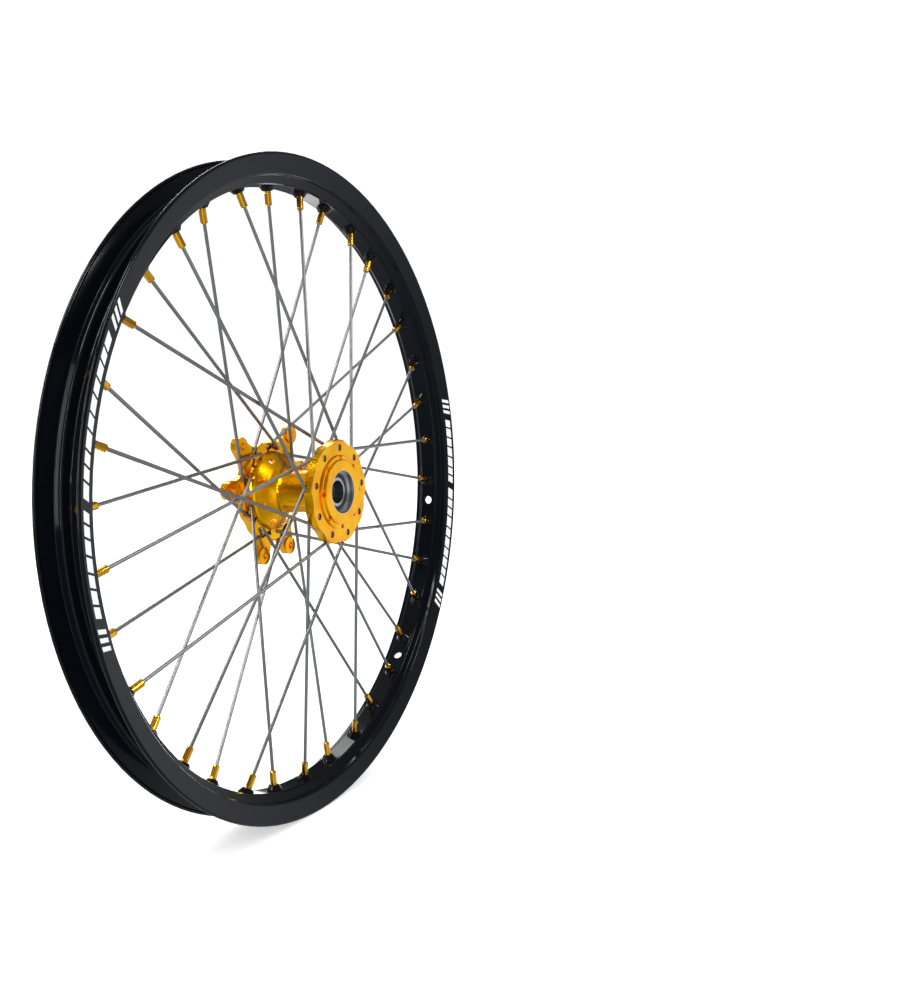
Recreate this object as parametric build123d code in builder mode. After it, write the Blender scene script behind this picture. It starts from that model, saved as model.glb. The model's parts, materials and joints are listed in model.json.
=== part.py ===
from build123d import *
import os
from math import cos, radians, sin

# A laced 21-inch off-road front wheel, in millimetres. The axle lies along Y through the origin, which is
# the rim's centre. The brake disc side is +Y. Angles are counted from +Z towards +X.

# Rim
RIM_RADIUS = 281.5          # crest of the lips
RIM_WIDTH = 43.6            # over both lips
LIP_THICK = 2.2
SIDE_LEAN = 17.5            # the side faces lean together from the lips inwards, in degrees
SEAT_RADIUS = 267.7         # bead seat, where the tyre sits
SEAT_EDGE = 10.9            # half of the width between the two bead seats
WELL_RADIUS = 260.8         # channel floor, where the nipple heads sit
WELL_HALF = 7.6
WALL = 2.8
SIDE_FOOT = 266.2           # inner edge of the side face
CREST_RADIUS = 1.6          # the rolled bead along each lip
DIMPLE_DEPTH = 3.5          # how far each punched boss stands in from the channel's underside
DIMPLE_WIDE = 7.9
DIMPLE_TIP = 4.5
RIM_HOLE = 4.25             # radius of the valve hole and of the rim lock hole
VALVE_ANGLE = 94.0
LOCK_ANGLE = 134.0

# Spokes and nipples
SPOKES = 36
FIRST_SPOKE = -21.0
CROSS_ANGLE = 60.0          # a spoke's hub hole is this far round from its nipple: three crossings
WIRE_RADIUS = 1.45
BEND_RADIUS = 3.0
HEAD_RADIUS = 2.6
HEAD_THICK = 1.5
SPOKE_END = 260.0
NIPPLE_STAGGER = 1.2        # nipple holes alternate this far either side of the rim's centre
NIPPLE_SPLIT = 0.4
NIPPLE_INNER = 242.8
NIPPLE_BODY = 2.9
NIPPLE_BORE = 1.5
NIPPLE_HEAD = 4.2
NIPPLE_TOP = 262.4
NIPPLE_SINK = 1.2           # how far the punched boss lowers the nipple's seat
FLAT_WIDTH = 5.2            # across the spanner flats
NIPPLE_HOLE = 3.3
NIPPLE_RECESS = 5.2         # radius of the recess that each nipple's head sinks into
SEAT_CONE = 2.2

# Hub
HUB_END = 43.5
HOLE_CIRCLE = 38.0
HOLE_RADIUS = 1.7
SEAT_DEPTH = 2.6            # counterbore for each spoke head
SEAT_BEVEL = 0.6
FLANGE_RADIUS = 45.0
FLANGE_THICK = 8.2
PLAIN_FACE = 32.0           # inboard face of the flange on the -Y side
DISC_FACE = 30.0            # inboard face of the flange on the +Y side
ELBOW_PROUD = 2.2           # bent spokes, which lie over the inboard face
ELBOW_SUNK = 3.4            # straight spokes, which lie in slots in the inboard face
SLOT_WIDTH = 3.4
SLOT_LENGTH = 37.0
POCKET_LENGTH = 2.2         # room for a straight spoke's head at the inner end of its slot
LOBES = 9
SCALLOP_RADIUS = 30.0
SCALLOP_CENTRE = 72.8
BARREL_RADIUS = 18.9
BARREL_BORE = 16.0
WEB_HOLES = 8
WEB_HOLE_RADIUS = 3.1
WEB_HOLE_CIRCLE = 28.2
CONE_MIDDLE = 24.2          # where the web holes cross the middle of the coned web
CONE_SLOPE = 38.0
FACE_HOLE_RADIUS = 2.1
FACE_HOLE_CIRCLE = 29.4
LUG_CIRCLE = 59.3
LUG_RADIUS = 7.9
LUG_FACE = 37.5             # where the brake disc is bolted on
LUG_THICK = 7.0
ARM_THICK = 5.5
LUG_BOLT = 3.1
LUG_ANGLES = (31.2, 71.2)   # each repeats three times round the hub

# Bearings: 20 x 37 x 9
BORE_RADIUS = 10.0
BEARING_RADIUS = 18.48
BEARING_WIDTH = 9.0
BEARING_CENTRE = 33.2
PITCH_RADIUS = 14.25
BALL_RADIUS = 2.38
GROOVE_RADIUS = 2.42
BALLS = 11
POCKET_GAP = 0.08
CAGE_HALF = 0.9             # half of the cage's radial thickness
CAGE_WIDTH = 6.2
INNER_SHOULDER = 12.3
OUTER_SHOULDER = 16.2
SEAL_THICK = 0.8
SEAL_INSET = 0.3
SEAL_GAP = 0.2
SPACER_RADIUS = 12.2

PLAIN, DISC = -1, 1
FACE = {PLAIN: PLAIN_FACE, DISC: DISC_FACE}
WEB_HOLE_START = {PLAIN: -3.0, DISC: -25.0}


def on_wheel(radius, angle, y):
    """The point at this radius and angle round the axle."""
    return Vector(radius * sin(radians(angle)), y, radius * cos(radians(angle)))


def spoke_side(number):
    """Spokes go to the two flanges in turn."""
    return PLAIN if number % 2 == 0 else DISC


def is_proud(number):
    """On each flange every other spoke lies over the inboard face, and the rest in its slots."""
    return number % 4 < 2


def nipple_angle(number):
    return FIRST_SPOKE + number * 360 / SPOKES


def hole_angle(number):
    return nipple_angle(number) + (CROSS_ANGLE if is_proud(number) else -CROSS_ANGLE)


def spoke_hole(number, y):
    """The point on the axis of the spoke's hub hole at this distance along the axle."""
    return on_wheel(HOLE_CIRCLE, hole_angle(number), y)


def spoke_elbow(number):
    """The corner where the axis of the hub hole meets the line of the spoke."""
    side = spoke_side(number)
    level = FACE[side] - ELBOW_PROUD if is_proud(number) else FACE[side] + ELBOW_SUNK
    return spoke_hole(number, side * level)


def spoke_tip(number):
    """The threaded end, inside the nipple's head."""
    split = -NIPPLE_SPLIT if is_proud(number) else NIPPLE_SPLIT
    return on_wheel(SPOKE_END, nipple_angle(number), spoke_side(number) * (NIPPLE_STAGGER + split))


def spoke_axis_plane(number):
    """A plane at the spoke's tip, square to the spoke and facing outwards."""
    return Plane(origin=spoke_tip(number), z_dir=(spoke_tip(number) - spoke_elbow(number)).normalized())


def spoke_head_plane(number):
    """A plane under the spoke's head, facing the way the head stands."""
    side = spoke_side(number)
    if is_proud(number):
        seat = side * (FACE[side] + FLANGE_THICK - SEAT_DEPTH)
        return Plane(origin=spoke_hole(number, seat), z_dir=(0, side, 0))
    return Plane(origin=spoke_elbow(number), z_dir=(spoke_elbow(number) - spoke_tip(number)).normalized())


def export(builder, name):
    builder.part.label = name
    export_step(builder.part, f"parts/{name}.step")


os.makedirs("parts", exist_ok=True)
numbers = range(SPOKES)
nipple_planes = [spoke_axis_plane(number) for number in numbers]


# Rim: one section turned round the axle, with a punched boss and a hole at each nipple
lean = radians(SIDE_LEAN)
bead_radius = RIM_RADIUS - CREST_RADIUS
bead_y = RIM_WIDTH / 2 - CREST_RADIUS
bead_drop = (CREST_RADIUS**2 - (LIP_THICK - CREST_RADIUS) ** 2) ** 0.5


def face_y(radius, depth):
    """How far the line at this depth under the leaning side face is from the rim's middle at this radius."""
    return bead_y + (CREST_RADIUS - depth) / cos(lean) - (bead_radius - radius) * sin(lean) / cos(lean)


def on_bead(angle):
    """The point on the lip's bead at this angle from outwards towards the side."""
    return (bead_radius + CREST_RADIUS * cos(angle), bead_y + CREST_RADIUS * sin(angle))


bead_foot = bead_radius + (LIP_THICK - CREST_RADIUS) * sin(lean) - bead_drop * cos(lean)
underside = SEAT_RADIUS - WALL
seat_top = WELL_RADIUS - SPOKE_END - NIPPLE_SINK + 0.4
rounded_corners = (
    ((WELL_RADIUS, WELL_HALF), 1.5),
    ((SEAT_RADIUS - 1.4, SEAT_EDGE - 1.2), 1.4),
    ((SEAT_RADIUS - 0.6, SEAT_EDGE), 1.8),
    ((SEAT_RADIUS, face_y(SEAT_RADIUS, LIP_THICK)), 1.2),
    ((underside - 0.2, SEAT_EDGE + 1.9), 1.5),
    ((WELL_RADIUS - WALL + 1.0, WELL_HALF + 1.8), 1.5),
    ((WELL_RADIUS - WALL, WELL_HALF), 1.5),
)
with BuildPart() as rim:
    with BuildSketch(Plane.XY) as section:
        with BuildLine():
            Polyline(
                (WELL_RADIUS, 0),
                (WELL_RADIUS, WELL_HALF),
                (SEAT_RADIUS - 1.4, SEAT_EDGE - 1.2),
                (SEAT_RADIUS - 0.6, SEAT_EDGE),
                (SEAT_RADIUS, face_y(SEAT_RADIUS, LIP_THICK)),
                (bead_foot, face_y(bead_foot, LIP_THICK)),
            )
            ThreePointArc(
                (bead_foot, face_y(bead_foot, LIP_THICK)),
                on_bead(lean - radians(45)),
                on_bead(lean + radians(90)),
            )
            Line(on_bead(lean + radians(90)), (SIDE_FOOT, face_y(SIDE_FOOT, 0)))
            ThreePointArc(
                (SIDE_FOOT, face_y(SIDE_FOOT, 0)),
                (underside + 0.28, face_y(SIDE_FOOT, 0) - 0.75),
                (underside, face_y(SIDE_FOOT, 0) - 1.9),
            )
            Polyline(
                (underside, face_y(SIDE_FOOT, 0) - 1.9),
                (underside - 0.2, SEAT_EDGE + 1.9),
                (WELL_RADIUS - WALL + 1.0, WELL_HALF + 1.8),
                (WELL_RADIUS - WALL, WELL_HALF),
                (WELL_RADIUS - WALL, 0),
                (WELL_RADIUS, 0),
            )
        make_face()
        for point, radius in rounded_corners:
            fillet(section.vertices().sort_by_distance(Vector(*point))[0], radius)
        mirror(about=Plane.XZ)
    revolve(axis=Axis.Y)
    with Locations(*nipple_planes):
        with Locations((0, 0, WELL_RADIUS - SPOKE_END - WALL - DIMPLE_DEPTH / 2 + 0.8)):
            Cone(DIMPLE_TIP, DIMPLE_WIDE, DIMPLE_DEPTH + 1.6)
    with Locations(*nipple_planes):
        Cylinder(NIPPLE_HOLE, 30, mode=Mode.SUBTRACT)
        with Locations((0, 0, seat_top - SEAT_CONE / 2)):
            Cone(NIPPLE_HOLE, NIPPLE_RECESS, SEAT_CONE, mode=Mode.SUBTRACT)
        with Locations((0, 0, seat_top)):
            Cylinder(NIPPLE_RECESS, 4, align=(Align.CENTER, Align.CENTER, Align.MIN), mode=Mode.SUBTRACT)
    for angle in (VALVE_ANGLE, LOCK_ANGLE):
        centre = on_wheel(WELL_RADIUS, angle, 0)
        with Locations(Plane(origin=centre, z_dir=centre.normalized())):
            Cylinder(RIM_HOLE, 20, mode=Mode.SUBTRACT)
export(rim, "rim")


# Hub: a turned body with two flanges, spoke holes and slots, disc lugs and lightening holes
plain_outer = -(PLAIN_FACE + FLANGE_THICK)
disc_outer = DISC_FACE + FLANGE_THICK
shoulder = BEARING_CENTRE - BEARING_WIDTH / 2
housing = BEARING_RADIUS + 0.02
EDGE = 0.8
with BuildPart() as hub:
    with BuildSketch(Plane.XY):
        with BuildLine():
            Polyline(
                (housing, -HUB_END),
                (27.3, -HUB_END),
                (28.0, -HUB_END + 0.7),
                (28.0, -41.9),
                (31.2, -41.9),
                (31.8, -41.3),
                (31.8, plain_outer),
                (FLANGE_RADIUS - EDGE, plain_outer),
                (FLANGE_RADIUS, plain_outer + EDGE),
                (FLANGE_RADIUS, -PLAIN_FACE - EDGE),
                (FLANGE_RADIUS - EDGE, -PLAIN_FACE),
                (34.2, -PLAIN_FACE),
                (33.0, -36.6),
                (24.0, -36.6),
                (22.8, -35.0),
                (22.8, -27.0),
            )
            Spline(
                (22.8, -27.0),
                (20.2, -20.5),
                (BARREL_RADIUS, -13.0),
                tangents=((0, 1), (0, 1)),
            )
            Polyline(
                (BARREL_RADIUS, -13.0),
                (BARREL_RADIUS, 9.0),
            )
            Spline(
                (BARREL_RADIUS, 9.0),
                (20.3, 14.2),
                (24.0, 18.4),
                tangents=((0, 1), (1, 0.78)),
            )
            Polyline(
                (24.0, 18.4),
                (33.4, 25.8),
                (34.6, 27.4),
                (35.6, DISC_FACE),
                (FLANGE_RADIUS - EDGE, DISC_FACE),
                (FLANGE_RADIUS, DISC_FACE + EDGE),
                (FLANGE_RADIUS, disc_outer - EDGE),
                (FLANGE_RADIUS - EDGE, disc_outer),
                (34.4, disc_outer),
                (32.4, 30.4),
                (24.6, 24.2),
                (23.0, 26.0),
                (23.0, HUB_END - EDGE),
                (23.0 - EDGE, HUB_END),
                (housing, HUB_END),
                (housing, shoulder),
                (BARREL_BORE, shoulder),
                (BARREL_BORE, -shoulder),
                (housing, -shoulder),
                (housing, -HUB_END),
            )
        make_face()
    revolve(axis=Axis.Y)
    for side in (PLAIN, DISC):
        middle = side * (FACE[side] + FLANGE_THICK / 2)
        first_hole = hole_angle(0 if side == PLAIN else 1)
        with BuildSketch(Plane.XZ.offset(-middle)):
            with PolarLocations(SCALLOP_CENTRE, LOBES, start_angle=90 - first_hole - 180 / LOBES):
                Circle(SCALLOP_RADIUS)
        extrude(amount=FLANGE_THICK, both=True, mode=Mode.SUBTRACT)
    with BuildSketch(Plane.XZ.offset(-LUG_FACE)):
        for lug_angle in LUG_ANGLES:
            with PolarLocations(LUG_CIRCLE, 3, start_angle=90 - lug_angle):
                Circle(LUG_RADIUS)
    extrude(amount=LUG_THICK)
    with BuildSketch(Plane.XZ.offset(-LUG_FACE)):
        for lug_angle in LUG_ANGLES:
            with PolarLocations(LUG_CIRCLE, 3, start_angle=90 - lug_angle):
                Polygon(
                    (0, 7.7), (-8, 9), (-14, 12), (-21, 16.5), (-21, -16.5), (-14, -12), (-8, -9), (0, -7.7), align=None
                )
    extrude(amount=ARM_THICK)
    with BuildSketch(Plane.XZ.offset(-(DISC_FACE - 5))):
        for lug_angle in LUG_ANGLES:
            with PolarLocations(LUG_CIRCLE, 3, start_angle=90 - lug_angle):
                Circle(LUG_BOLT)
    extrude(amount=-20, mode=Mode.SUBTRACT)
    for number in numbers:
        side = spoke_side(number)
        if is_proud(number):
            with Locations(spoke_head_plane(number).offset(SEAT_DEPTH)):
                Cylinder(HOLE_RADIUS, 40, mode=Mode.SUBTRACT)
                Cylinder(HEAD_RADIUS + 0.3, 2 * SEAT_DEPTH, mode=Mode.SUBTRACT)
                Cone(HEAD_RADIUS + 0.3 - SEAT_BEVEL, HEAD_RADIUS + 0.3 + SEAT_BEVEL, 2 * SEAT_BEVEL, mode=Mode.SUBTRACT)
        else:
            along = -spoke_head_plane(number).z_dir
            inboard = along.cross(Vector(0, -side, 0)).cross(along).normalized()
            slot_plane = Plane(origin=spoke_elbow(number), x_dir=along, z_dir=inboard)
            with BuildSketch(slot_plane.offset(-SLOT_WIDTH / 2)):
                Rectangle(SLOT_LENGTH, SLOT_WIDTH, align=(Align.MIN, Align.CENTER))
            extrude(amount=12, mode=Mode.SUBTRACT)
            with BuildSketch(slot_plane.offset(-HEAD_RADIUS - 0.3)):
                with Locations((0.05, 0)):
                    Rectangle(POCKET_LENGTH, 2 * HEAD_RADIUS + 0.6, align=(Align.MAX, Align.CENTER))
            extrude(amount=12, mode=Mode.SUBTRACT)
    for step in range(WEB_HOLES):
        cone_angle = WEB_HOLE_START[DISC] + step * 360 / WEB_HOLES
        cone_normal = on_wheel(sin(radians(CONE_SLOPE)), cone_angle, -cos(radians(CONE_SLOPE)))
        with Locations(Plane(origin=on_wheel(WEB_HOLE_CIRCLE, cone_angle, CONE_MIDDLE), z_dir=cone_normal)):
            Cylinder(WEB_HOLE_RADIUS, 14, mode=Mode.SUBTRACT)
        flat_angle = WEB_HOLE_START[PLAIN] + step * 360 / WEB_HOLES
        with Locations(Plane(origin=on_wheel(FACE_HOLE_CIRCLE, flat_angle, plain_outer), z_dir=(0, 1, 0))):
            Cylinder(FACE_HOLE_RADIUS, 14, mode=Mode.SUBTRACT)
export(hub, "hub")


# Spokes: headed wires threaded into their nipples at the rim. Half are bent once at the hub, half are straight
for number in numbers:
    head_plane = spoke_head_plane(number)
    with BuildPart() as spoke:
        with BuildLine():
            if is_proud(number):
                FilletPolyline(
                    head_plane.origin,
                    spoke_elbow(number),
                    spoke_tip(number),
                    radius=BEND_RADIUS,
                )
            else:
                Line(head_plane.origin, spoke_tip(number))
        with BuildSketch(Plane(origin=head_plane.origin, z_dir=-head_plane.z_dir)):
            Circle(WIRE_RADIUS)
        sweep()
        with BuildSketch(head_plane):
            Circle(HEAD_RADIUS)
        extrude(amount=HEAD_THICK, taper=12)
    export(spoke, f"spoke_{number + 1:02d}")


# Nipples: domed, slotted heads in the channel, and bodies with spanner flats under the rim
with BuildPart() as nipple:
    with BuildSketch(Plane.XZ):
        with BuildLine():
            head_foot = WELL_RADIUS - SPOKE_END - NIPPLE_SINK - 1.4
            rim_line = head_foot + 1.6
            top = NIPPLE_TOP - SPOKE_END
            bottom = NIPPLE_INNER - SPOKE_END
            Polyline(
                (NIPPLE_BORE, top - 0.1),
                (NIPPLE_BORE, bottom),
                (NIPPLE_BODY - 0.4, bottom),
                (NIPPLE_BODY, bottom + 0.5),
                (NIPPLE_BODY, head_foot),
                (NIPPLE_HEAD, rim_line),
                (NIPPLE_HEAD, rim_line + 0.8),
            )
            ThreePointArc(
                (NIPPLE_HEAD, rim_line + 0.8),
                (NIPPLE_HEAD * 0.78, top - 0.8),
                (NIPPLE_BORE, top - 0.1),
            )
        make_face()
    revolve(axis=Axis.Z)
    with BuildSketch(Plane.XY.offset(bottom + 1.4)):
        Circle(NIPPLE_BODY + 1)
        Rectangle(FLAT_WIDTH, FLAT_WIDTH, mode=Mode.SUBTRACT)
    extrude(amount=8.5, mode=Mode.SUBTRACT)
    with Locations((0, 0, top)):
        Box(12, 1.4, 2.6, mode=Mode.SUBTRACT)
with BuildPart() as nipples:
    with Locations(*nipple_planes):
        add(nipple.part)
export(nipples, "nipples")


# Two sealed ball bearings, with a tube between their inner races
for side, name in ((PLAIN, "right"), (DISC, "left")):
    centre_plane = Plane(origin=(0, side * BEARING_CENTRE, 0), z_dir=(0, side, 0))
    with BuildPart() as inner_race:
        with Locations(centre_plane):
            Cylinder(INNER_SHOULDER, BEARING_WIDTH)
            Cylinder(BORE_RADIUS, BEARING_WIDTH, mode=Mode.SUBTRACT)
            Torus(PITCH_RADIUS, GROOVE_RADIUS, mode=Mode.SUBTRACT)
    export(inner_race, f"{name}_inner_race")

    with BuildPart() as outer_race:
        with Locations(centre_plane):
            Cylinder(BEARING_RADIUS, BEARING_WIDTH)
            Cylinder(OUTER_SHOULDER, BEARING_WIDTH, mode=Mode.SUBTRACT)
            Torus(PITCH_RADIUS, GROOVE_RADIUS, mode=Mode.SUBTRACT)
    export(outer_race, f"{name}_outer_race")

    with BuildPart() as balls:
        with Locations(centre_plane):
            with PolarLocations(PITCH_RADIUS, BALLS):
                Sphere(BALL_RADIUS)
    export(balls, f"{name}_balls")

    with BuildPart() as cage:
        with Locations(centre_plane):
            Cylinder(PITCH_RADIUS + CAGE_HALF, CAGE_WIDTH)
            Cylinder(PITCH_RADIUS - CAGE_HALF, CAGE_WIDTH, mode=Mode.SUBTRACT)
            with PolarLocations(PITCH_RADIUS, BALLS):
                Cylinder(BALL_RADIUS + POCKET_GAP, 6, rotation=(0, 90, 0), mode=Mode.SUBTRACT)
    export(cage, f"{name}_cage")

    for place, seal_name in ((1, "outer"), (-1, "inner")):
        seal_y = place * (BEARING_WIDTH / 2 - SEAL_INSET - SEAL_THICK / 2)
        with BuildPart() as seal:
            with Locations(centre_plane.offset(seal_y)):
                Cylinder(OUTER_SHOULDER, SEAL_THICK)
                Cylinder(INNER_SHOULDER + SEAL_GAP, SEAL_THICK, mode=Mode.SUBTRACT)
        export(seal, f"{name}_{seal_name}_seal")

with BuildPart() as spacer_tube:
    with Locations(Plane(origin=(0, 0, 0), z_dir=(0, 1, 0))):
        Cylinder(SPACER_RADIUS, 2 * shoulder)
        Cylinder(BORE_RADIUS, 2 * shoulder, mode=Mode.SUBTRACT)
export(spacer_tube, "spacer_tube")
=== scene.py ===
"""Laced off-road wheel: materials, decals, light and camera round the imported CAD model."""
import json
import math
import random

import bmesh
import bpy
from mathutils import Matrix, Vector


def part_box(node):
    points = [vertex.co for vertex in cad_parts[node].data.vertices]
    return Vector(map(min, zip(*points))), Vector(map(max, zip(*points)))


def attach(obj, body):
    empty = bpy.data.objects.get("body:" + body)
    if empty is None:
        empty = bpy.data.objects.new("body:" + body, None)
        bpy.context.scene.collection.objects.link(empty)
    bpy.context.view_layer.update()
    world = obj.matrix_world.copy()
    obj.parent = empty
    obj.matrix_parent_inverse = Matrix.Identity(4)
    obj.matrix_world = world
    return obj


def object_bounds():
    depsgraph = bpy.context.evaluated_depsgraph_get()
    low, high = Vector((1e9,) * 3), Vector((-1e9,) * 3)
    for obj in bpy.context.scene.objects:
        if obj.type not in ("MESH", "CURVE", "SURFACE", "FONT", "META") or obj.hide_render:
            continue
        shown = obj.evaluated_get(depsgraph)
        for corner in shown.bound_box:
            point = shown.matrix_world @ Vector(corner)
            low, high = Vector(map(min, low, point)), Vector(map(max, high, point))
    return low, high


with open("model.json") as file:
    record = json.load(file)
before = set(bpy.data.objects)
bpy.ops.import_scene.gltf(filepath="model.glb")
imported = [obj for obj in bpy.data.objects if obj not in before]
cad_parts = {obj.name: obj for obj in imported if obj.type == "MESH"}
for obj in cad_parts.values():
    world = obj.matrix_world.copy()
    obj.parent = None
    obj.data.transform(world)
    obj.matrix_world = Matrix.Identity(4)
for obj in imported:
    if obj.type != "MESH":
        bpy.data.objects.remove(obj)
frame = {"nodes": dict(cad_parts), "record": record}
cad_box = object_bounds()
nodes = frame["nodes"]

# Camera: the photograph's viewing angle, with the wheel left of the middle of the picture.
# Lengths are in metres, but for the lens and the sensor, which are in millimetres.
CAMERA_AZIMUTH = math.radians(-57.77)
CAMERA_ELEVATION = math.radians(2.675)
CAMERA_DISTANCE = 0.8263
CAMERA_SIDE = 0.01685
CAMERA_RISE = -0.00793
LENS = 33.712
SENSOR_WIDTH = 36
SHIFT = 0.13


def direction(azimuth, elevation):
    """Unit vector from the wheel's centre. Azimuth 0 is the -Y side, and 90 degrees the +X side."""
    return Vector((
        math.sin(azimuth) * math.cos(elevation),
        -math.cos(azimuth) * math.cos(elevation),
        math.sin(elevation),
    ))


def add_object(name, data):
    added = bpy.data.objects.new(name, data)
    bpy.context.scene.collection.objects.link(added)
    return added


def add_mesh(name, mesh):
    """An object made from a bmesh, which is freed."""
    data = bpy.data.meshes.new(name)
    mesh.to_mesh(data)
    mesh.free()
    return add_object(name, data)


def make_camera():
    """A camera that looks along the photograph's direction past the wheel's centre."""
    back = direction(CAMERA_AZIMUTH, CAMERA_ELEVATION)
    turn = (-back).to_track_quat("-Z", "Y")
    side = turn @ Vector((1, 0, 0))
    up = turn @ Vector((0, 1, 0))
    data = bpy.data.cameras.new("camera")
    data.lens = LENS
    data.sensor_width = SENSOR_WIDTH
    data.shift_x = SHIFT
    camera = add_object("camera", data)
    camera.rotation_mode = "QUATERNION"
    camera.rotation_quaternion = turn
    camera.location = back * CAMERA_DISTANCE + side * CAMERA_SIDE + up * CAMERA_RISE
    bpy.context.scene.camera = camera


make_camera()


class Tree:
    """A node tree, with short calls for the nodes used here."""

    def __init__(self, tree):
        self.tree = tree

    def plug(self, target, value):
        """Link a socket into the target, or set the target to a constant."""
        if isinstance(value, bpy.types.NodeSocket):
            self.tree.links.new(value, target)
        else:
            target.default_value = value

    def math(self, operation, *values):
        node = self.tree.nodes.new("ShaderNodeMath")
        node.operation = operation
        for target, value in zip(node.inputs, values):
            self.plug(target, value)
        return node.outputs[0]

    def mix(self, factor, first, second):
        node = self.tree.nodes.new("ShaderNodeMix")
        node.data_type = "RGBA"
        self.plug(node.inputs["Factor"], factor)
        self.plug(node.inputs["A"], first)
        self.plug(node.inputs["B"], second)
        return node.outputs["Result"]

    def split(self, vector):
        """The three parts of a vector."""
        node = self.tree.nodes.new("ShaderNodeSeparateXYZ")
        self.tree.links.new(vector, node.inputs[0])
        return node.outputs


class Graph(Tree):
    """A material and its node tree."""

    def __init__(self, name):
        self.material = bpy.data.materials.new(name)
        self.material.use_nodes = True
        super().__init__(self.material.node_tree)
        self.shader = self.tree.nodes["Principled BSDF"]

    def set(self, **values):
        """Constants on the shader's sockets, by their names in small letters."""
        for name, value in values.items():
            socket = name.replace("_", " ").title().replace("Ior", "IOR")
            self.shader.inputs[socket].default_value = value

    def step(self, value, low, high):
        """0 below low, 1 above high, and smooth between them."""
        node = self.tree.nodes.new("ShaderNodeMapRange")
        node.interpolation_type = "SMOOTHSTEP"
        self.plug(node.inputs["Value"], value)
        node.inputs["From Min"].default_value = low
        node.inputs["From Max"].default_value = high
        return node.outputs[0]

    def span(self, value, low, high):
        """A 0 to 1 value stretched to run from low to high."""
        return self.math("MULTIPLY_ADD", value, high - low, low)

    def place(self):
        """The point in the wheel's own frame."""
        return self.tree.nodes.new("ShaderNodeTexCoord").outputs["Object"]

    def polar(self):
        """Radius from the axle, distance along it and angle round it."""
        x, y, z = self.split(self.place())
        squares = self.math("ADD", self.math("MULTIPLY", x, x), self.math("MULTIPLY", z, z))
        return self.math("SQRT", squares), y, self.math("ARCTAN2", x, z)

    def vector(self, x, y, z):
        node = self.tree.nodes.new("ShaderNodeCombineXYZ")
        for target, value in zip(node.inputs, (x, y, z)):
            self.plug(target, value)
        return node.outputs[0]

    def turned(self, pitch, drag):
        """A vector in which noise runs in rings, as a lathe tool leaves it."""
        radius, y, angle = self.polar()
        return self.vector(
            self.math("MULTIPLY", radius, 1 / pitch),
            self.math("MULTIPLY", y, 1 / pitch),
            self.math("MULTIPLY", angle, drag),
        )

    def noise(self, vector, scale, detail=3.0, roughness=0.5):
        node = self.tree.nodes.new("ShaderNodeTexNoise")
        self.tree.links.new(vector, node.inputs["Vector"])
        node.inputs["Scale"].default_value = scale
        node.inputs["Detail"].default_value = detail
        node.inputs["Roughness"].default_value = roughness
        return node.outputs["Fac"]

    def colour(self, value):
        self.plug(self.shader.inputs["Base Color"], value)

    def roughness(self, value):
        self.plug(self.shader.inputs["Roughness"], value)

    def bump(self, *layers):
        """Each layer is a height socket and its depth in metres."""
        last = None
        for height, depth in layers:
            node = self.tree.nodes.new("ShaderNodeBump")
            node.inputs["Distance"].default_value = depth
            self.plug(node.inputs["Height"], height)
            if last:
                self.tree.links.new(last, node.inputs["Normal"])
            last = node.outputs[0]
        self.tree.links.new(last, self.shader.inputs["Normal"])


def rgb(red, green, blue):
    return (red, green, blue, 1.0)


MICRON = 0.000001
SEAT_INSIDE, SEAT_OUTSIDE = 0.01862, 0.01885    # radii between which a bearing seat's bare metal ends


def rim_black():
    """Gloss black anodised rim: a clear sheen, with faint polishing rings and fine scuffs."""
    g = Graph("rim_gloss_black")
    cloud = g.noise(g.place(), 14, 4)
    rings = g.noise(g.turned(0.0009, 3.0), 1, 3)
    waves = g.noise(g.place(), 90, 2)
    scuffs = g.step(g.noise(g.turned(0.004, 26.0), 1, 5, 0.65), 0.6, 0.78)
    g.colour(g.mix(cloud, rgb(0.0016, 0.0024, 0.0038), rgb(0.0032, 0.0046, 0.0068)))
    smooth = g.math("ADD", g.span(cloud, 0.1, 0.16), g.span(rings, -0.02, 0.02))
    g.roughness(g.math("ADD", smooth, g.math("MULTIPLY", scuffs, 0.07)))
    g.bump((rings, 1.2 * MICRON), (waves, 6 * MICRON))
    g.set(ior=1.25, specular_ior_level=0.32, coat_weight=0.12, coat_roughness=0.02, coat_ior=1.3)
    return g.material


def hub_gold():
    """Gold anodised hub: turned rings under the colour, and bare steel-bright bearing seats."""
    g = Graph("gold_anodised")
    radius = g.polar()[0]
    cloud = g.noise(g.place(), 55, 4)
    rings = g.noise(g.turned(0.0006, 2.0), 1, 3, 0.6)
    fine = g.noise(g.turned(0.00018, 5.0), 1, 2)
    grain = g.noise(g.place(), 3200, 2)
    gold = g.mix(g.step(cloud, 0.36, 0.64), rgb(0.92, 0.37, 0.001), rgb(1.0, 0.5, 0.004))
    gold = g.mix(g.math("MULTIPLY", g.step(rings, 0.5, 0.8), 0.25), gold, rgb(0.85, 0.28, 0.002))
    seat = g.math("SUBTRACT", 1.0, g.step(radius, SEAT_INSIDE, SEAT_OUTSIDE))
    g.colour(g.mix(seat, gold, rgb(0.72, 0.73, 0.75)))
    smooth = g.math("ADD", g.span(cloud, 0.2, 0.27), g.span(rings, -0.03, 0.05))
    g.roughness(g.math("ADD", smooth, g.span(fine, -0.015, 0.02)))
    g.bump((rings, 12 * MICRON), (fine, 6 * MICRON), (grain, 2 * MICRON))
    g.set(metallic=1.0)
    return g.material


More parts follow.
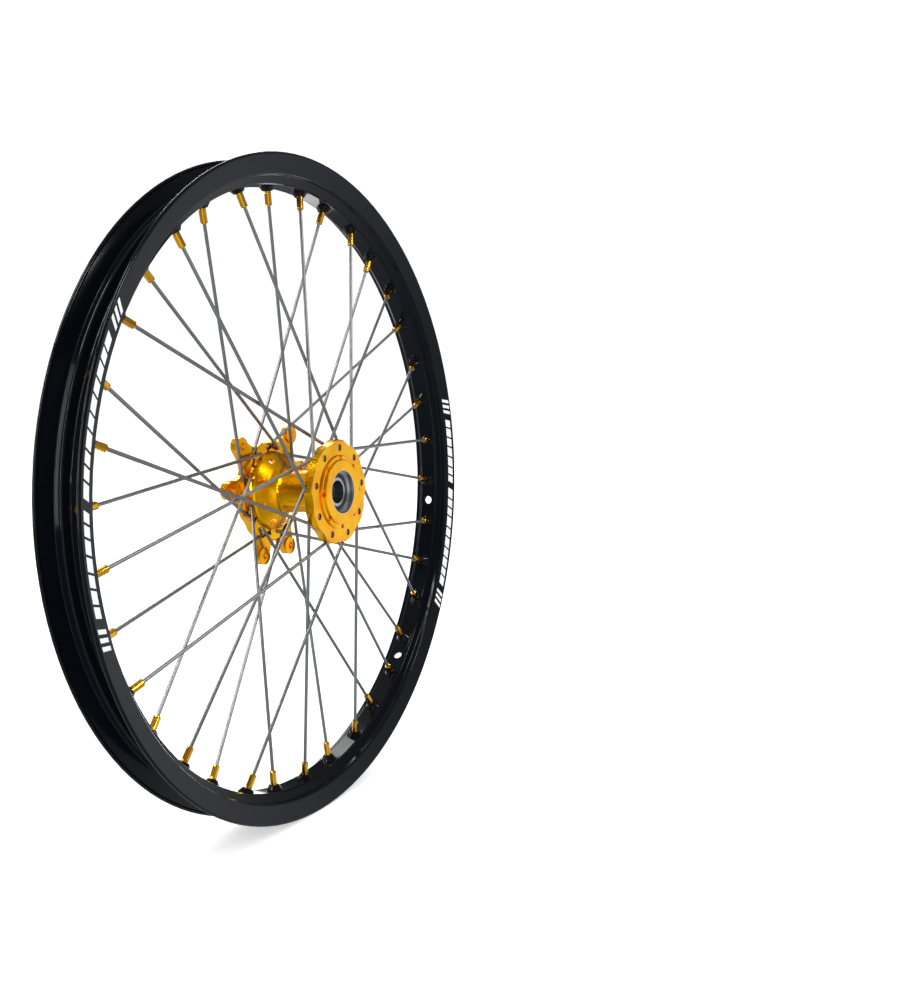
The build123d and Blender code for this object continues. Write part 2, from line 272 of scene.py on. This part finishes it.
def nipple_gold():
    """Gold anodised nipples, with small tool marks."""
    g = Graph("gold_nipple")
    cloud = g.noise(g.place(), 260, 3)
    grain = g.noise(g.place(), 1700, 3)
    gold = g.mix(cloud, rgb(0.64, 0.31, 0.018), rgb(0.8, 0.42, 0.032))
    g.colour(g.mix(g.math("MULTIPLY", g.step(grain, 0.56, 0.72), 0.35), gold, rgb(0.6, 0.3, 0.03)))
    g.roughness(g.span(grain, 0.1, 0.24))
    g.bump((grain, 12 * MICRON))
    g.set(metallic=1.0)
    return g.material


def spoke_steel():
    """Drawn stainless wire: satin grey, with slow tone changes along it and fine drawing marks."""
    g = Graph("spoke_steel")
    slow = g.noise(g.place(), 42, 3)
    grain = g.noise(g.place(), 1500, 4, 0.6)
    steel = g.mix(slow, rgb(0.21, 0.21, 0.208), rgb(0.32, 0.32, 0.315))
    g.colour(g.mix(g.math("MULTIPLY", g.step(grain, 0.5, 0.8), 0.18), steel, rgb(0.2, 0.195, 0.18)))
    g.roughness(g.math("ADD", g.span(slow, 0.36, 0.46), g.span(grain, -0.04, 0.06)))
    g.bump((grain, 3 * MICRON))
    g.set(metallic=1.0)
    return g.material


def ground_steel(name, dark, light, low, high):
    """Ground or polished steel turned about the axle, between two tones and two roughnesses."""
    g = Graph(name)
    rings = g.noise(g.turned(0.00025, 1.5), 1, 3)
    cloud = g.noise(g.place(), 180, 3)
    g.colour(g.mix(rings, dark, light))
    g.roughness(g.math("ADD", g.span(cloud, low, high), g.span(rings, -0.02, 0.02)))
    g.bump((rings, 5 * MICRON), (cloud, 3 * MICRON))
    g.set(metallic=1.0)
    return g.material


def moulded(name, dark, light, low, high, pitch):
    """Moulded rubber or polymer with ringed mould marks and a fine grain."""
    g = Graph(name)
    rings = g.noise(g.turned(pitch, 1.0), 1, 2)
    grain = g.noise(g.place(), 1900, 4)
    g.colour(g.mix(g.math("MULTIPLY", g.math("ADD", rings, grain), 0.5), dark, light))
    g.roughness(g.span(grain, low, high))
    g.bump((rings, 60 * MICRON), (grain, 25 * MICRON))
    return g.material


finishes = {
    "rim_gloss_black": rim_black(),
    "gold_anodised": hub_gold(),
    "gold_nipple": nipple_gold(),
    "spoke_steel": spoke_steel(),
    "spacer_alloy": ground_steel(
        "spacer_alloy", rgb(0.5, 0.5, 0.51), rgb(0.66, 0.66, 0.67), 0.3, 0.42),
    "bearing_steel": ground_steel(
        "bearing_steel", rgb(0.34, 0.34, 0.35), rgb(0.5, 0.5, 0.51), 0.16, 0.26),
    "ball_steel": ground_steel(
        "ball_steel", rgb(0.7, 0.7, 0.71), rgb(0.82, 0.82, 0.83), 0.04, 0.09),
    "cage_polymer": moulded(
        "cage_polymer", rgb(0.05, 0.05, 0.048), rgb(0.1, 0.1, 0.095), 0.42, 0.6, 0.0012),
    "seal_rubber": moulded(
        "seal_rubber", rgb(0.008, 0.008, 0.009), rgb(0.02, 0.02, 0.021), 0.34, 0.52, 0.0008),
}

for subpart in frame["record"]["subparts"]:
    mesh = nodes[subpart["node"]].data
    mesh.materials.clear()
    mesh.materials.append(finishes[subpart["material_slot"]])
    for polygon in mesh.polygons:
        polygon.material_index = 0


# Decals: plain slanted bars and blocks of no meaning on both side faces of the rim. The side
# faces lean together inwards.
rim_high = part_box("rim")[1]
BEAD = 0.0016               # radius of the rolled bead along each lip
LEAN = math.radians(17.5)
LABEL_INNER = rim_high.z - 0.0125
LABEL_OUTER = rim_high.z - 0.0033
LABEL_THICK = 0.00007       # how far the label stands out from the side face
SHELL_THICK = LABEL_THICK * 0.9     # a little less, so that its underside clears the side face
LABEL_LENGTH = 0.235
LABEL_LEFT = -86.5          # degrees from the top of the wheel to the label's middle
LABEL_RIGHT = 94.0
LABEL_SEED = 3
FACET = 0.004               # longest face along a bar
SLANT = 0.0042              # how far a bar leans along the rim from its inner to its outer edge
BARS = 3                    # at each end of the label
BAR_STEP = 0.0062
BAR_WIDTH = 0.0034
BLOCKS_FROM = 0.0235        # from each end of the label
BLOCKS = 17
FIRST_GROUP = 7
BLOCK_GAP = 0.0019
GROUP_GAP = 0.0075
BLOCK_LOW, BLOCK_HIGH = 0.14, 0.86      # shares of the label's height


def label_y(radius):
    """How far the label's outer surface is from the rim's middle at this radius."""
    crest = rim_high.y - BEAD + (BEAD + LABEL_THICK) / math.cos(LEAN)
    return crest - (rim_high.z - BEAD - radius) * math.tan(LEAN)


def label_bar(mesh, side, start, end, low, high):
    """One slanted bar between two distances along the rim and two shares of the label's height."""
    steps = max(2, int((end - start) / FACET))
    rows = []
    for height in (low, high):
        radius = LABEL_INNER + (LABEL_OUTER - LABEL_INNER) * height
        y = side * label_y(radius)
        row = []
        for step in range(steps + 1):
            along = start + (end - start) * step / steps + SLANT * height
            angle = along / LABEL_OUTER
            row.append(mesh.verts.new((radius * math.sin(angle), y, radius * math.cos(angle))))
        rows.append(row)
    for step in range(steps):
        mesh.faces.new((rows[0][step], rows[0][step + 1], rows[1][step + 1], rows[1][step]))


def label_layout():
    """Bars at each end, and two groups of plain blocks of varied length between them."""
    pattern = random.Random(LABEL_SEED)
    bars = []
    for step in range(BARS):
        for at in (step * BAR_STEP, LABEL_LENGTH - BAR_WIDTH - step * BAR_STEP):
            bars.append((at, at + BAR_WIDTH, 0.0, 1.0))
    shares = [pattern.uniform(0.7, 1.1) for block in range(BLOCKS)]
    room = LABEL_LENGTH - 2 * BLOCKS_FROM - (BLOCKS - 2) * BLOCK_GAP - GROUP_GAP
    at = BLOCKS_FROM
    for block, share in enumerate(shares):
        end = at + room * share / sum(shares)
        bars.append((at, end, BLOCK_LOW, BLOCK_HIGH))
        at = end + (GROUP_GAP if block == FIRST_GROUP - 1 else BLOCK_GAP)
    return bars


def label_white():
    """Printed vinyl: off-white with a slight sheen and fine specks."""
    g = Graph("label_white")
    specks = g.noise(g.place(), 2100, 4)
    cloud = g.noise(g.place(), 40, 3)
    clean = g.mix(cloud, rgb(0.76, 0.77, 0.78), rgb(0.86, 0.86, 0.86))
    g.colour(g.mix(g.math("MULTIPLY", g.step(specks, 0.6, 0.8), 0.4), clean, rgb(0.5, 0.5, 0.5)))
    g.roughness(g.span(specks, 0.24, 0.4))
    g.bump((specks, 6 * MICRON))
    g.set(coat_weight=0.3, coat_roughness=0.1)
    return g.material


def make_label(name, middle, side, finish):
    """A label centred at this angle on the rim's near (-1) or far (1) side face."""
    first = math.radians(middle) * LABEL_OUTER - LABEL_LENGTH / 2
    mesh = bmesh.new()
    for start, end, low, high in label_layout():
        label_bar(mesh, side, first + start, first + end, low, high)
    bmesh.ops.remove_doubles(mesh, verts=mesh.verts, dist=0.000001)
    bmesh.ops.recalc_face_normals(mesh, faces=mesh.faces)
    if mesh.faces[:][0].normal.y * side < 0:
        bmesh.ops.reverse_faces(mesh, faces=mesh.faces)
    label = add_mesh(name, mesh)
    label.data.materials.append(finish)
    solid = label.modifiers.new("thickness", "SOLIDIFY")
    solid.thickness = SHELL_THICK
    solid.offset = -1
    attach(label, "wheel")


white = label_white()
for side, place in ((-1, "near"), (1, "far")):
    make_label(f"label_{place}_left", LABEL_LEFT, side, white)
    make_label(f"label_{place}_right", LABEL_RIGHT, side, white)


# Stage
FLOOR_RADIUS = 40
BACKDROP = 1.12             # the world's brightness to the camera and on matt surfaces
PANEL_AZIMUTH = math.radians(65)
PANELS = 3
PANEL_LEVEL, PANEL_SWING = 0.58, 0.42
# What reflections see: a share of the way from straight down to straight up, and the brightness
SKY = ((0.0, 1.0), (0.2, 1.25), (0.4, 1.2), (0.48, 1.1), (0.6, 0.45), (0.78, 0.32), (1.0, 1.0))
# Name, azimuth and elevation in degrees, distance, width and height, and watts
LIGHTS = (
    ("key", -112, 50, 1.9, (0.4, 0.8), 24),
    ("edge", -92, 14, 2.3, (0.1, 1.9), 42),
    ("outline", -150, 12, 2.3, (0.1, 1.5), 16),
    ("fill", 5, 32, 2.2, (0.5, 0.3), 18),
    ("back", 140, 40, 2.2, (0.9, 0.5), 10),
    ("bounce", 124, -17, 2.2, (2.6, 0.5), 16),
)


def make_floor():
    mesh = bmesh.new()
    bmesh.ops.create_circle(mesh, cap_ends=True, segments=96, radius=FLOOR_RADIUS)
    floor = add_mesh("floor", mesh)
    floor.location.z = cad_box[0].z
    g = Graph("floor")
    g.colour(g.mix(g.noise(g.place(), 3, 2), rgb(0.9, 0.9, 0.9), rgb(0.92, 0.92, 0.92)))
    g.set(
        roughness=0.9,
        specular_ior_level=0.0,
        emission_color=rgb(1, 1, 1),
        emission_strength=0.5,
    )
    floor.data.materials.append(g.material)
    floor.visible_glossy = False


def make_world():
    """White to the eye. Reflections show a bright ceiling and broad panels round the wheel."""
    world = bpy.data.worlds.new("studio")
    bpy.context.scene.world = world
    world.use_nodes = True
    tree = Tree(world.node_tree)
    made = world.node_tree.nodes
    x, y, z = tree.split(made.new("ShaderNodeTexCoord").outputs["Generated"])

    ramp = made.new("ShaderNodeValToRGB")
    tree.plug(ramp.inputs["Fac"], tree.math("MULTIPLY_ADD", z, 0.5, 0.5))
    ramp.color_ramp.interpolation = "EASE"
    while len(ramp.color_ramp.elements) < len(SKY):
        ramp.color_ramp.elements.new(0.5)
    for element, (at, level) in zip(ramp.color_ramp.elements, SKY):
        element.position = at
        element.color = rgb(level * 0.92, level * 0.97, level)

    turn = tree.math("ARCTAN2", x, tree.math("MULTIPLY", y, -1.0))
    turn = tree.math("SUBTRACT", turn, PANEL_AZIMUTH)
    panels = tree.math("COSINE", tree.math("MULTIPLY", turn, float(PANELS)))
    belt = tree.math("SUBTRACT", 1.0, tree.math("MULTIPLY", z, z))
    panels = tree.math("MULTIPLY", belt, panels)
    brightness = tree.math("MULTIPLY_ADD", panels, PANEL_SWING, PANEL_LEVEL)

    walls = tree.mix(brightness, rgb(0, 0, 0), ramp.outputs["Color"])
    glossy = made.new("ShaderNodeLightPath").outputs["Is Glossy Ray"]
    seen = tree.mix(glossy, rgb(BACKDROP, BACKDROP, BACKDROP), walls)
    tree.plug(made["Background"].inputs["Color"], seen)
    tree.plug(made["Background"].inputs["Strength"], 1.0)


def make_light(name, azimuth, elevation, distance, size, power):
    """A soft area light aimed at the hub, which shows only in reflections."""
    at = direction(math.radians(azimuth), math.radians(elevation)) * distance
    data = bpy.data.lights.new(name, "AREA")
    data.shape = "RECTANGLE"
    data.size, data.size_y = size
    data.energy = power
    light = add_object(name, data)
    light.location = at
    light.rotation_mode = "QUATERNION"
    light.rotation_quaternion = (-at).to_track_quat("-Z", "Y")
    light.visible_camera = False
    light.visible_diffuse = False


make_floor()
make_world()
for light in LIGHTS:
    make_light(*light)
bpy.context.scene.view_settings.view_transform = "Standard"
